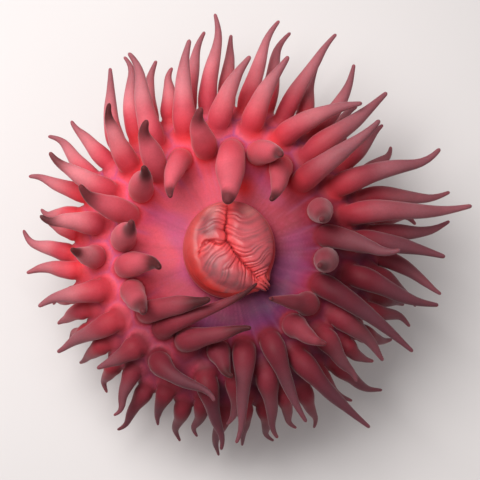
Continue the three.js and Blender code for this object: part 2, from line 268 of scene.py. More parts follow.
def lipRelief(place, share):
    # how far the lips stand out or sink in, and the masks that their colours follow
    plan = place[:, :2] + 0.16 * np.column_stack([ripple(place, 4.5, 61), ripple(place, 4.5, 62)])
    x, y = plan.T
    lines = {name: smoothLine(points, 0.3) for name, points in slits.items()}
    near, depth = {}, {}
    for name, line in lines.items():
        near[name], along = nearLine(plan, line)
        # a slit is deepest where the three meet and dies out at its far end
        far = along / along.max() if name != "top" else 1 - along / along.max()
        depth[name] = 1 - 0.8 * smoothStep(0.4, 1, far)
        depth[name] *= lip["shallowShare"] if name in lip["shallow"] else 1
    main = np.minimum(near["top"], near["right"])
    slit = np.minimum(main, near["left"])
    nearSlit = bell(slit, 2.4)

    wobble = ripple(plan, 7, 11)
    oval = np.hypot((x - lip["ovalX"]) / lip["ovalWide"], (y - lip["ovalY"]) / lip["ovalDeep"])
    inOval = 1 - smoothStep(0.78, 1.04, oval + 0.05 * wobble)
    onTop = 1 - smoothStep(0.9, 1.0, share)
    lobes = lipLobes(x, y, lines)
    pleat, fine, stripe, height = lipPleats(x, y, lobes, slit, wobble)
    ends = [smoothStep(*lip[name], slit) for name in ("upperPleatsEnd", "pleatsEnd")]
    reach = (1 - np.where(lobes["upper"], *ends)) * inOval

    # the ridges reach into the slits and the creases open them
    scallop = lip["scallop"] * (pleat - 0.4)
    mainSlits = ("top", "right", "left")
    cuts = [depth[name] * bell(near[name] + scallop, lip["slitWidth"]) for name in mainSlits]
    slitCut = np.maximum.reduce(cuts)
    relief = -lip["slitDepth"] * slitCut - lip["valleyDepth"] * bell(main, lip["valleyWidth"])
    relief -= lip["foldDepth"] * depth["fold"] * bell(near["fold"], lip["foldWidth"])
    relief += height * (pleat - 0.7) * reach * (0.35 + 0.9 * bell(slit, 2.6)) * (1 - 0.5 * bell(slit, 0.3))
    relief += lip["swell"] * inOval * smoothStep(0.4, 3, slit) - lip["groove"] * bell(oval - 1.0, 0.05)
    relief += lip["welt"] * bell(oval - 1.14, 0.12)
    relief *= onTop
    relief += lip["lumps"] * ripple(plan, 7, 5) * onTop

    # the puckered corner, with a small hole in its middle
    corner = np.linalg.norm(place - lip["cornerPlace"], axis=1)
    onCorner = bell(corner, lip["cornerSize"])
    around = np.arctan2(y - lip["cornerPlace"][1], x - lip["cornerPlace"][0])
    pucker = np.abs(np.sin(lip["cornerFolds"] * around + 0.7 * wobble)) ** 0.6
    folds = lip["cornerFoldHeight"] * (pucker - 0.6) * smoothStep(0.2, 1.0, corner)
    relief += onCorner * (lip["cornerHeight"] + folds)
    relief -= lip["cornerHole"] * bell(corner, 0.45)

    # dark red in the slits, creases and the corner's folds, partly the flesh's own colour and partly painted
    # shade
    crease = 0.9 * bell(slit + scallop, 0.42) * np.maximum.reduce([depth[name] for name in mainSlits])
    crease += 0.7 * depth["fold"] * bell(near["fold"], 0.4)
    crease += (1 - pleat) * reach * (0.1 + 1.3 * nearSlit) + 0.9 * onCorner * (1 - pucker)
    crease += 0.14 * (1 - fine) * inOval * smoothStep(0.5, 1.5, slit)
    band = bell(oval - (lip["bandAt"] + 0.05 * wobble), lip["bandWide"])
    band = band * (0.25 + 0.75 * smoothStep(-6, 3, -x - 0.6 * y)) * (0.5 + 0.6 * stripe)
    streaks = stripe * inOval * smoothStep(1.8, 4.5, slit) * (0.7 + 0.5 * ripple(plan, 3.2, 9))
    masks = {
        "crease": np.clip(crease * onTop, 0, 1),
        "ridge": np.clip(nearSlit * (0.4 + 0.6 * pleat) + onCorner, 0, 1) * onTop,
        "band": band * onTop * (0.9 + 0.4 * ripple(plan, 2.6, 8)) * (1 - bell(slit, 1.6)),
        "stripe": np.clip(streaks * onTop, 0, 1),
        "rim": np.maximum(smoothStep(0.94, 1.1, oval), 0.85 * smoothStep(0.85, 0.97, share) * (1 - onCorner)),
        "glow": bell(slit, 0.8) * onTop * (1 - pleat * 0.6),
        "slit": bell(slit, 0.3) * onTop * np.maximum(slitCut, 0.3),
        "upper": lobes["upper"] * 1.0,
    }
    return relief, masks


wart = {"rows": 40, "spacing": 2.6, "size": 0.95, "height": 0.45, "margin": 2.5, "fade": 1.5, "fold": 0.2}
foot = {"uneven": 0.45, "wrinkle": 0.09, "wrinkleSpacing": 1.15}
disc = {"furrows": 96, "furrow": 0.02, "wander": 2.2, "lumps": 0.12}


def columnRelief(bearing, run):
    # rounded warts in rows down the column, with shallow folds between the rows
    low = runs["margin"] + wart["margin"]
    high = runs["end"] - wart["margin"] - wart["fade"]
    inside = smoothStep(low, low + wart["fade"], run) * (1 - smoothStep(high - wart["fade"], high, run))
    turn = bearing / (2 * math.pi) * wart["rows"]
    column = np.floor(turn)
    row = (run - low) / wart["spacing"] + 0.5 * (column % 2)
    step = np.floor(row)
    # a fixed scramble of column and step moves each wart a little and gives it a size
    jitter = np.sin(column * 12.9898 + step * 78.233) * 43758.5453
    jitter -= np.floor(jitter)
    other = np.abs(np.sin(jitter * 91.7))
    sideways = (turn - column - 0.5 + 0.4 * (jitter - 0.5)) * 2 * math.pi * meanRadius(run) / wart["rows"]
    down = (row - step - 0.5 + 0.4 * (other - 0.5)) * wart["spacing"]
    size = wart["size"] * (0.55 + 0.6 * other)
    bump = np.clip(1 - (sideways ** 2 + down ** 2) / size ** 2, 0, 1) ** 1.3
    fold = wart["fold"] * np.cos(2 * math.pi * turn)

    # the foot's edge is a little uneven, with a few fine wrinkles round it just above
    fromEnd = runs["end"] - run
    onFoot = bell(fromEnd - 2.4, 1.8) * smoothStep(0.3, 1.8, fromEnd)
    waves = 0.5 * np.sin(5 * bearing + 0.6) + 0.3 * np.sin(9 * bearing + 2) + 0.2 * np.sin(17 * bearing)
    wrinkle = np.cos(2 * math.pi * fromEnd / foot["wrinkleSpacing"] + np.sin(6 * bearing))
    atFoot = foot["uneven"] * onFoot * waves + foot["wrinkle"] * wrinkle * bell(fromEnd - 5, 2)
    return inside * (wart["height"] * bump + fold) + atFoot, inside * bump


def discRelief(bearing, place, run):
    # fine furrows from the lips out to the tentacles
    onDisc = smoothStep(runs["lipEdge"], runs["lipEdge"] + 1.2, run)
    onDisc *= 1 - smoothStep(runs["discEdge"] - 1, runs["discEdge"] + 3, run)
    furrow = np.cos(disc["furrows"] * bearing + disc["wander"] * ripple(place, 7, 21))
    return onDisc * (disc["furrow"] * furrow + disc["lumps"] * ripple(place, 7, 22)), onDisc


# the rings of tentacles: bearing of the first, climb over the crown, and how the line leaves and settles
rings = {
    "inner": {"first": -4, "climb": 13, "stagger": 0, "lift": 0.36, "settle": 0.36},
    "middle": {"first": 3.5, "climb": 38, "stagger": 0, "lift": 0.34, "settle": 0.32},
    "outer": {"first": -0.25, "climb": 75, "stagger": 9, "lift": 0.3, "settle": 0.34},
}
# each tentacle in turn: its tip's bearing, reach and height, and for some the root's turn and the lift
poses = {
    "inner": [
        (341, 25, 60, -3), (355, 43.5, 49, -4), (8, 24.5, 60, -4), (37, 50, 50), (36, 15.5, 55),
        (55, 25, 58), (84, 9, 53.5), (103, 33, 55), (144, 18, 54), (126, 36, 54), (140, 25, 59),
        (163, 38, 54), (174, 22.5, 59), (200, 16.5, 55), (224, 27, 56, -1), (257, 15.5, 53, -1, 0.45),
        (304, 15.5, 53, -3), (287, 22.5, 50, -4, 0.45), (272, 34, 47), (275, 50, 40), (294, 49, 38),
        (312, 36, 52), (306, 19, 54), (332, 55, 38, -2),
    ],
    "middle": [
        (359, 57, 38), (9, 65, 38, -3), (23, 61, 42, -4), (43, 59, 40), (48, 52, 44), (73, 52, 46),
        (84, 50, 46), (101, 56, 42), (115, 57, 42), (132, 47, 48), (154, 51, 44), (173, 47, 46),
        (185, 38, 50), (196, 50, 38), (210, 51, 28), (224, 45, 36), (267, 39, 43, -4, 0.5),
        (270, 51, 30, 3), (273, 45, 31, 2), (285, 50, 29), (308, 59, 32), (315, 48, 36), (327, 50, 32, -4),
        (344, 57, 34),
    ],
    "outer": [
        (350, 58, 30), (6, 60, 30), (13, 53, 19), (14, 62, 28), (33, 55, 22), (39, 55, 30), (52, 55, 22),
        (54, 62, 32), (66, 59, 28), (64, 65, 38), (76, 64, 28), (78, 64, 36), (89, 61, 28), (91, 64, 36),
        (96, 63, 26), (107, 52, 34), (111, 58, 26), (116, 59, 34), (122, 61, 27), (140, 54, 34),
        (144, 58, 26), (158, 56, 32), (167, 51, 26), (171, 48, 34), (175, 55, 26), (184, 52, 32),
        (194, 48, 20), (201, 48, 24), (206, 47, 19), (216, 48, 20), (226, 48, 18), (237, 51, 32),
        (239, 54, 20), (247, 48, 24), (254, 50, 16), (260, 48, 22), (266, 52, 13), (276, 50, 17),
        (283, 50, 15), (291, 49, 22), (299, 51, 16), (309, 51, 24), (318, 55, 18), (322, 48, 28),
        (333, 50, 18), (341, 52, 26), (346, 50, 16), (347, 53, 21),
    ],
}
tentacle = {
    "sides": 16, "rootRing": {"inner": 2.84, "middle": 2.95, "outer": 2.42},
    "hill": 2.4, "hillSpread": 2.1,  # how far the skin climbs up each tentacle and spreads round it
    "root": {"inner": 3.15, "middle": 3.05, "outer": 2.5},
    # along a tentacle: share of its length, share of its radius at the root
    "profiles": {
        "arched": [(0, 0.94), (0.12, 1.03), (0.3, 1.01), (0.5, 0.86), (0.7, 0.6), (0.85, 0.39), (0.95, 0.27),
                   (1, 0.22)],
        "blunt": [(0, 0.94), (0.15, 1.02), (0.4, 1.02), (0.62, 0.84), (0.8, 0.59), (0.92, 0.42), (1, 0.35)],
        "spread": [(0, 0.94), (0.12, 1.01), (0.3, 0.9), (0.5, 0.71), (0.7, 0.49), (0.86, 0.31), (1, 0.17)],
    },
    "archedReach": 38,  # inner ones that end nearer than this to the middle are arched and dark at the tip
    # of the inner ring, these end bluntly, these are stouter or thinner, and these are redder than the rest
    "blunt": (6,), "girth": {4: 0.85, 6: 1.2, 8: 0.84, 16: 0.55, 17: 0.78, 18: 0.72, 21: 0.78, 22: 0.68},
    "redder": (0, 2, 21, 22),
    "lowerGirth": 0.74,  # those on the lower side are slimmer
    "darkMiddle": (9, 10, 11, 12),  # of the middle ring, these are dark at the tip too
    # share of the length from which a tip is dark, where some of the inner ring have their own
    "darkFrom": 0.62, "tipFrom": {0: 0.8, 2: 0.62, 4: 0.8, 5: 0.76, 6: 0.84, 8: 0.8, 21: 0.85, 22: 0.96},
    "clearance": 0.1, "thinnest": 0.55, "rounding": 1.3, "beading": 0.025,
    "steps": (0, 0.01, 0.03, 0.06, 0.1, 0.15, 0.21, 0.27, 0.33, 0.39, 0.45, 0.51, 0.57, 0.63, 0.69, 0.75,
              0.81, 0.87, 0.92, 0.955, 0.978, 0.991, 1),
    "sway": {"inner": 0.5, "middle": 0.8, "outer": 0.9}, "hook": 1.9, "hookFrom": 0.72,
    # how far some tips turn to the right of their own direction, or to the left where it is negative
    "hooks": {
        "inner": {0: 0.5, 1: -2, 2: 0.6, 3: -1.2, 4: 0.6, 5: 0.4, 6: 0.3, 7: 1.3, 8: -0.9, 9: 1.9,
                  10: -1, 11: 2.3, 12: -1, 13: 2.2, 14: 0.4, 15: -0.4, 16: -1.8, 20: -0.6, 21: -0.8,
                  22: 0.3, 23: 0.8},
        "middle": {1: -0.5, 2: -2.1, 8: -1.3, 9: 2.6, 10: 2.3, 11: 2.1, 12: 1.7, 13: -0.9, 14: 0.3, 15: 0.6},
        "outer": {},
    },
}


def tipCurve(root, normal, tip, lift, settle):
    # leaves the crown straight out and bends over to the tip
    a, b, c, d = root, root + normal * lift * np.linalg.norm(tip - root), tip + (root - tip) * settle, tip
    t = np.linspace(0, 1, 200)[:, None]
    return (1 - t) ** 3 * a + 3 * (1 - t) ** 2 * t * b + 3 * (1 - t) * t ** 2 * c + t ** 3 * d


def fleshRadius(ringName, shape, girth, share, left, phase):
    # the radius at each share of the length, with the length left to the tip, which is rounded off
    profile = smoothLine(tentacle["profiles"][shape], 0.02)
    radius = tentacle["root"][ringName] * np.interp(share, profile[:, 0], profile[:, 1])
    radius *= 1 + (girth - 1) * smoothStep(0.02, 0.4, share)
    radius *= 1 + tentacle["beading"] * np.sin(phase + 16 * share)
    radius[0] = tentacle["rootRing"][ringName]
    end = radius[-1] * tentacle["rounding"]
    return np.where(left < end, radius * np.sqrt(np.clip(1 - (1 - left / end) ** 2, 0, 1)), radius)


def tentacleLine(draw, ringName, index, bearing, tipBearing, reach, height, turn=0, lift=None):
    # the middle line of one tentacle, with its radius at each step and what its colours need
    ring = rings[ringName]
    climb = ring["climb"] + (-ring["stagger"] if index % 2 else ring["stagger"])
    root, normal = crownPoint(bearing + turn, climb)
    around = math.radians(tipBearing)
    tip = np.array([reach * math.cos(around), reach * math.sin(around), height])
    curve = tipCurve(root, normal, tip, lift or ring["lift"], ring["settle"])
    run = lengthAlong(curve)
    share = np.array(tentacle["steps"])
    at = tentacle["hill"] + share * (run[-1] - tentacle["hill"])
    # a little sway to one side and back, growing towards the tip, which hooks over
    side = np.cross(tip - root, (0, 0, 1))
    side /= np.linalg.norm(side)
    sway = tentacle["sway"][ringName] * draw.uniform(0.4, 1) * draw.choice([-1, 1])
    phase = draw.uniform(0, 2 * math.pi)
    hook = tentacle["hook"] * draw.choice([-1, 1]) * draw.uniform(0.35, 1)
    hook = tentacle["hooks"][ringName].get(index, hook)
    towardsTip = np.clip((share - tentacle["hookFrom"]) / (1 - tentacle["hookFrom"]), 0, 1)
    offset = sway * share ** 1.5 * np.sin(phase + 7 * share) + hook * towardsTip ** 2

    inner = ringName == "inner"
    arched = inner and reach <= tentacle["archedReach"]
    shape = "spread" if not arched else "blunt" if index in tentacle["blunt"] else "arched"
    girth = tentacle["girth"].get(index, 1) if inner else 1
    if not arched:
        girth -= (1 - tentacle["lowerGirth"]) * max(0, -math.sin(around))
    return {
        "root": root, "line": placesAt(at, run, curve) + offset[:, None] * side, "length": run[-1],
        "radius": fleshRadius(ringName, shape, girth, share, run[-1] - at, phase),
        "bearing": math.radians(bearing + turn), "tone": draw.uniform(), "arched": arched,
        "redder": inner and index in tentacle["redder"],
        "tipFrom": tentacle["tipFrom"].get(index, tentacle["darkFrom"]) if inner else tentacle["darkFrom"],
        "darkTip": arched or (ringName == "middle" and index in tentacle["darkMiddle"]),
    }


def tentacleLines():
    draw = np.random.default_rng(4)
    made = []
    for ringName, ringPoses in poses.items():
        for index, pose in enumerate(ringPoses):
            bearing = rings[ringName]["first"] + 360 / len(ringPoses) * index
            made.append(tentacleLine(draw, ringName, index, bearing, *pose))
    return made


def allOf(name, items):
    return np.concatenate([one[name] for one in items])


def giveWay(lines):
    # where two tentacles would touch, both get thinner there
    place = allOf("line", lines)
    radius = allOf("radius", lines)
    owner = np.repeat(np.arange(len(lines)), len(tentacle["steps"]))
    room = np.full(len(place), 9.0)
    for k in range(len(lines)):
        mine, other = owner == k, owner != k
        distance = np.linalg.norm(place[mine][:, None] - place[other][None], axis=2)
        needed = radius[mine][:, None] + radius[other][None] + tentacle["clearance"]
        room[mine] = (distance / needed).min(axis=1)
    for k, one in enumerate(lines):
        share = np.clip(room[owner == k], tentacle["thinnest"], 1)
        eased = np.minimum(share, np.convolve(np.pad(share, 1, "edge"), (0.25, 0.5, 0.25), "valid"))
        eased[:2] = 1
        one["radius"] = one["radius"] * eased
    thinned = len(set(owner[room < 1]))
    print("tentacles:", len(lines), "of which", thinned, "give way, at most to", round(room.min(), 2))


def addSockets(tree, side, **kinds):
    for name, kind in kinds.items():
        tree.interface.new_socket(name, in_out=side, socket_type="NodeSocket" + kind)


def newNodes(tree, *kinds):
    return [tree.nodes.new(kind) for kind in kinds]


def joinNodes(tree, *joints):
    # each joint is a node, its output, the next node and its input
    for start, output, end, entry in joints:
        tree.links.new(start.outputs[output], end.inputs[entry])


def setInputs(node, values):
    for name, value in values.items():
        node.inputs[name].default_value = value


def tentacleTree():
    # follows each line with a round section of the line's own radius
    tree = bpy.data.node_groups.new("tentacle flesh", "GeometryNodeTree")
    addSockets(tree, "INPUT", Geometry="Geometry", Sides="Int", Material="Material")
    addSockets(tree, "OUTPUT", Geometry="Geometry")
    given, result, toCurve, thick, section, sweep, realize, paint = newNodes(
        tree, "NodeGroupInput", "NodeGroupOutput", "GeometryNodeMeshToCurve",
        "GeometryNodeInputNamedAttribute", "GeometryNodeCurvePrimitiveCircle", "GeometryNodeCurveToMesh",
        "GeometryNodeRealizeInstances", "GeometryNodeSetMaterial")
    thick.data_type = "FLOAT"
    setInputs(thick, {"Name": "thick"})
    setInputs(section, {"Radius": 1})
    joinNodes(tree, (given, "Geometry", toCurve, "Mesh"), (given, "Sides", section, "Resolution"),
              (toCurve, "Curve", sweep, "Curve"), (section, "Curve", sweep, "Profile Curve"),
              (thick, "Attribute", sweep, "Scale"), (sweep, "Mesh", realize, "Geometry"),
              (realize, "Geometry", paint, "Geometry"), (given, "Material", paint, "Material"),
              (paint, "Geometry", result, "Geometry"))
    return tree


def addObject(name, data):
    made = bpy.data.objects.new(name, data)
    bpy.context.scene.collection.objects.link(made)
    return made


def addMesh(name, vertices, edges, faces):
    mesh = bpy.data.meshes.new(name)
    mesh.from_pydata(vertices, edges, faces)
    return addObject(name, mesh)


def growTentacles(lines, material):
    # sends the lines through the tree and gives back its points and faces, and each point's tentacle and step
    place = allOf("line", lines) * mm
    thick = np.maximum(allOf("radius", lines), 1e-4) * mm
    count = len(tentacle["steps"])
    number, step = np.divmod(np.arange(len(place)), count)
    edges = [(i, i + 1) for i in range(len(place) - 1) if (i + 1) % count]
    guide = addMesh("tentacle_lines", [tuple(p) for p in place], edges, [])
    for name, kind, values in (("thick", "FLOAT", thick), ("number", "INT", number), ("step", "INT", step)):
        guide.data.attributes.new(name, kind, "POINT").data.foreach_set("value", values.tolist())
    tree = tentacleTree()
    modifier = guide.modifiers.new("flesh", "NODES")
    modifier.node_group = tree
    sockets = {item.name: item.identifier for item in tree.interface.items_tree if item.in_out == "INPUT"}
    modifier[sockets["Sides"]] = tentacle["sides"]
    modifier[sockets["Material"]] = material
    evaluated = guide.evaluated_get(bpy.context.evaluated_depsgraph_get())
    mesh = bpy.data.meshes.new_from_object(evaluated)
    place = np.zeros(len(mesh.vertices) * 3, np.float32)
    mesh.vertices.foreach_get("co", place)
    flesh = {"place": place.reshape(-1, 3).astype(float) / mm,
             "faces": np.array([tuple(face.vertices) for face in mesh.polygons])}
    for name in ("number", "step"):
        flesh[name] = np.zeros(len(mesh.vertices), np.int32)
        mesh.attributes[name].data.foreach_get("value", flesh[name])
    guide.modifiers.remove(modifier)
    bpy.data.objects.remove(guide)
    bpy.data.meshes.remove(mesh)
    return flesh


skinGrid = {
    # distance between the skin's points on each part of the body, and between rings as a share of it
    "lips": 0.22, "disc": 0.5, "crown": 0.58, "column": 0.75, "foot": 0.8, "rows": 0.87,
    "rootGap": 0.28,  # points nearer than this to a tentacle's root are left out
    "soleRings": (0.93, 0.75, 0.5, 0.25),
}


def flatPlace(bearing, run):
    radius = np.interp(run, stations["run"], stations["flat"])
    return np.column_stack([radius * np.cos(bearing), radius * np.sin(bearing)])


def gridPoints():
    # rings of points down the body, closer together where there is more relief
    bearings, where = [np.zeros(1)], [np.zeros(1)]
    places = [runs["lipEdge"], runs["lipEdge"] + 3, runs["discEdge"], runs["discEdge"] + 3, runs["margin"],
              runs["end"]]
    spacings = [skinGrid[name] for name in ("lips", "disc", "disc", "crown", "column", "foot")]
    run, k = skinGrid["lips"], 0
    while run < runs["end"] - 0.2:
        spacing = np.interp(run, places, spacings)
        count = max(6, int(round(2 * math.pi * meanRadius(run) / spacing)))
        bearings.append(2 * math.pi * (np.arange(count) + 0.5 * (k % 2)) / count)
        where.append(np.full(count, run))
        run += spacing * skinGrid["rows"]
        k += 1
    count = int(round(2 * math.pi * body["column"][-1][0] / skinGrid["foot"]))
    bearings.append(2 * math.pi * np.arange(count) / count)
    where.append(np.full(count, runs["end"]))
    return np.concatenate(bearings), np.concatenate(where)


def rootGaps(place, run, lines):
    # distance from each point to the edge of the nearest root and of the next one
    first, second = np.full((2, len(run)), 99.0)
    near = (run > runs["discEdge"] - 12) & (run < runs["margin"] + 12)
    roots = np.array([one["root"] for one in lines])
    radius = np.array([one["radius"][0] for one in lines])
    distance = np.linalg.norm(place[near][:, None, :] - roots[None], axis=2) - radius[None]
    distance.sort(axis=1)
    first[near], second[near] = distance[:, 0], distance[:, 1]
    return np.maximum(first, 0), np.maximum(second, 0)


def rootLoops(lines, flesh):
    # the first ring of each tentacle as a closed loop on the body: its points of flesh, bearings and runs
    loops = []
    for k, one in enumerate(lines):
        ids = np.nonzero((flesh["number"] == k) & (flesh["step"] == 0))[0]
        place = flesh["place"][ids] - (one["line"][0] - one["root"])
        bearing = np.arctan2(place[:, 1], place[:, 0])
        radius = np.hypot(place[:, 0], place[:, 1])
        miss = np.hypot(stations["mean"][None] - radius[:, None],
                        stations["line"][None, :, 3] - place[:, 2][:, None])
        miss[:, stations["run"] < runs["discEdge"] - 6] = 1e3
        run = stations["run"][miss.argmin(axis=1)]
        flat = flatPlace(bearing, run)
        centre = flat.mean(axis=0)
        order = np.argsort(np.arctan2(flat[:, 1] - centre[1], flat[:, 0] - centre[0]))
        loops.append({"ids": ids[order], "bearing": bearing[order], "run": run[order]})
    return loops


def bodyRelief(bearing, run, onRoot, lines):
    # every point's relief, and the masks for its colours
    place = plainSurface(bearing, run)
    normal = surfaceNormal(bearing, run)
    gap, nextGap = rootGaps(place, run, lines)
    gap[onRoot] = 0
    relief = tentacle["hill"] * np.exp(-gap / tentacle["hillSpread"])
    betweenRoots = smoothStep(0.1, 0.8, gap) * (1 - smoothStep(2, 5, gap))
    masks = {"gap": gap, "web": bell(nextGap - gap, 0.7) * betweenRoots}
    onLips = run < runs["lipEdge"] + 2.5
    wide = np.interp(run[onLips], stations["run"], stations["line"][:, 1])
    share = np.where(run[onLips] < runs["lipEdge"] - 5, wide / body["lipHalfWidth"], 1)
    lipHeight, lipMasks = lipRelief(place[onLips], share)
    relief[onLips] += lipHeight
    for name, values in lipMasks.items():
        masks[name] = np.zeros(len(run))
        masks[name][onLips] = values
    masks["lip"] = 1 - smoothStep(runs["lipEdge"] - 1.2, runs["lipEdge"] + 0.8, run)
    height, masks["disc"] = discRelief(bearing, place, run)
    relief += height
    height, masks["wart"] = columnRelief(bearing, run)
    relief += height
    return place + normal * relief[:, None], masks


def joinOnMap(bearing, run, loops):
    # joins the points into triangles on the flat map, and leaves the loops of the roots open
    flat = [Vector(p) for p in flatPlace(bearing, run)]
    _, _, faces, fromPoint, _, fromLoop = delaunay_2d_cdt(flat, [], loops, 0, 1e-7, True)
    source = np.array([first[0] if first else -1 for first in fromPoint])
    inRoot = np.array([len(loop) > 0 for loop in fromLoop])
    return source[np.array(faces)][~inRoot]


def soleOf(place, bearing, onEdge):
    # the flat sole that closes the foot
    edge = np.nonzero(onEdge)[0]
    edge = edge[np.argsort(bearing[edge])]
    places, faces = [], []
    before, count = edge, len(place)
    for share in skinGrid["soleRings"]:
        places.append(np.column_stack([place[edge, 0] * share, place[edge, 1] * share, np.zeros(len(edge))]))
        now = count + np.arange(len(edge))
        count += len(edge)
        faces += [(a, c, d, b) for a, b, c, d in zip(before, np.roll(before, -1), now, np.roll(now, -1))]
        before = now
    faces += [(a, count, b) for a, b in zip(before, np.roll(before, -1))]
    return np.vstack(places + [np.zeros((1, 3))]), faces


def fleshInSkin(flesh, loops, firstLoop, firstFree):
    # each point of flesh in the skin: the first ring is the body's own, and the last ring is one point
    target = np.full(len(flesh["step"]), -1)
    for loop in loops:
        target[loop["ids"]] = firstLoop + np.arange(len(loop["ids"]))
        firstLoop += len(loop["ids"])
    onTip = flesh["step"] == len(tentacle["steps"]) - 1
    free = np.nonzero((target < 0) & ~onTip)[0]
    target[free] = firstFree + np.arange(len(free))
    target[onTip] = firstFree + len(free) + flesh["number"][onTip]
    faces = []
    for quad in target[flesh["faces"]].tolist():
        corners = [c for i, c in enumerate(quad) if c != quad[i - 1]]
        if len(corners) > 2:
            faces.append(tuple(corners))
    return free, faces


def buildSkin(lines, material):
    # one closed skin over body and tentacles, and what its colours need to know of each point
    flesh = growTentacles(lines, material)
    bearing, run = gridPoints()
    keep = rootGaps(plainSurface(bearing, run), run, lines)[0] > skinGrid["rootGap"]
    bearing, run = bearing[keep], run[keep]
    firstLoop = len(bearing)
    rootRings = rootLoops(lines, flesh)
    counts = [len(ring["ids"]) for ring in rootRings]
    starts = firstLoop + runningSum(counts)
    owner = np.concatenate([np.full(firstLoop, -1), np.repeat(np.arange(len(lines)), counts)])
    bearing = np.concatenate([bearing, allOf("bearing", rootRings)])
    run = np.concatenate([run, allOf("run", rootRings)])
    triangles = joinOnMap(bearing, run, [list(range(a, b)) for a, b in zip(starts, starts[1:])])
    place, masks = bodyRelief(bearing, run, owner >= 0, lines)
    sole, soleFaces = soleOf(place, bearing, (run > runs["end"] - 1e-6) & (owner < 0))
    free, fleshFaces = fleshInSkin(flesh, rootRings, firstLoop, len(place) + len(sole))

    tips = np.array([one["line"][-1] for one in lines])
    vertices = np.vstack([place, sole, flesh["place"][free], tips])
    faces = [tuple(t) for t in triangles.tolist()] + soleFaces + fleshFaces
    skin = addMesh("anemone_skin", [tuple(p) for p in vertices * mm], [], faces)
    shape = bmesh.new()
    shape.from_mesh(skin.data)
    bmesh.ops.recalc_face_normals(shape, faces=shape.faces)
    loose = sum(1 for edge in shape.edges if len(edge.link_faces) != 2)
    shape.to_mesh(skin.data)
    shape.free()
    print("skin:", len(vertices), "points,", len(faces), "faces,", loose, "open edges")

    # how each point belongs: body first, then sole, tentacles and tips
    beyond = len(vertices) - len(place)
    info = {name: np.concatenate([values, np.zeros(beyond)]) for name, values in masks.items()}
    info["gap"][len(place):] = 99
    info["place"] = vertices
    info["tentacle"] = np.concatenate([owner, np.full(len(sole), -1), flesh["number"][free],
                                       np.arange(len(lines))])
    step = np.concatenate([np.zeros(len(place) + len(sole), int), flesh["step"][free],
                           np.full(len(lines), len(tentacle["steps"]) - 1)])
    info["along"] = np.array(tentacle["steps"])[step]
    info["run"] = np.concatenate([run, np.full(len(sole), runs["end"]),
                                  np.full(len(free) + len(lines), runs["discEdge"] + 8)])
    info["bodyFaces"] = len(triangles)
    return skin, info


shades = {
    "discPink": (202, 80, 98), "discPaintedShade": (112, 26, 44), "discVioletShaded": (70, 22, 64),
    "discMauve": (180, 84, 118), "web": (128, 62, 124), "discPaintedGlow": (226, 40, 36),
    "rootGlow": (202, 46, 52), "crownPaintedShade": (66, 12, 24), "slitRedShade": (128, 22, 32),
    "lipMauve": (172, 76, 84), "lipRidge": (200, 70, 74), "lipOrange": (182, 72, 72),
    "lipRim": (168, 40, 36), "lipBand": (116, 70, 74), "lipPaintedHighlight": (196, 128, 124),
    "lipCreaseRedShade": (146, 26, 34), "lipGlow": (206, 50, 42),
    "tentacleRed": (186, 68, 84), "tentaclePaintedShade": (88, 24, 36), "tentacleRose": (194, 116, 124),
    "tentacleOuterPaintedShade": (78, 38, 48), "tipBrown": (54, 20, 22), "tipGrey": (108, 64, 72),
    "column": (150, 50, 62), "columnLow": (180, 86, 84), "wart": (206, 138, 130), "black": (0, 0, 0),
}
colours = {name: screenColour(*shade) for name, shade in shades.items()}
# x, y and spread of the painted highlights on the upper lips and of the red patch of painted light on the
# disc
patches = {"pale": [(-3, 9, 1.8), (6.1, 8.7, 1.6)], "red": [(4.9, 16.4, 2.6)]}


def layered(colour, *layers):
    # colours laid over one another, each by its mask
    for name, mask in layers:
        mask = np.clip(mask, 0, 1)[:, None]
        colour = colour * (1 - mask) + colours[name] * mask
    return colour


def allOver(name, place):
    return np.tile(colours[name], (len(place), 1))


def cloudy(place, scale, seed):
    return 0.5 + 0.5 * ripple(place, scale, seed)


def patchesOf(kind, name, strength, place):
    # a layer of one colour for each patch of a kind
    return [(name, strength * bell(np.hypot(place[:, 0] - x, place[:, 1] - y), spread))
            for x, y, spread in patches[kind]]


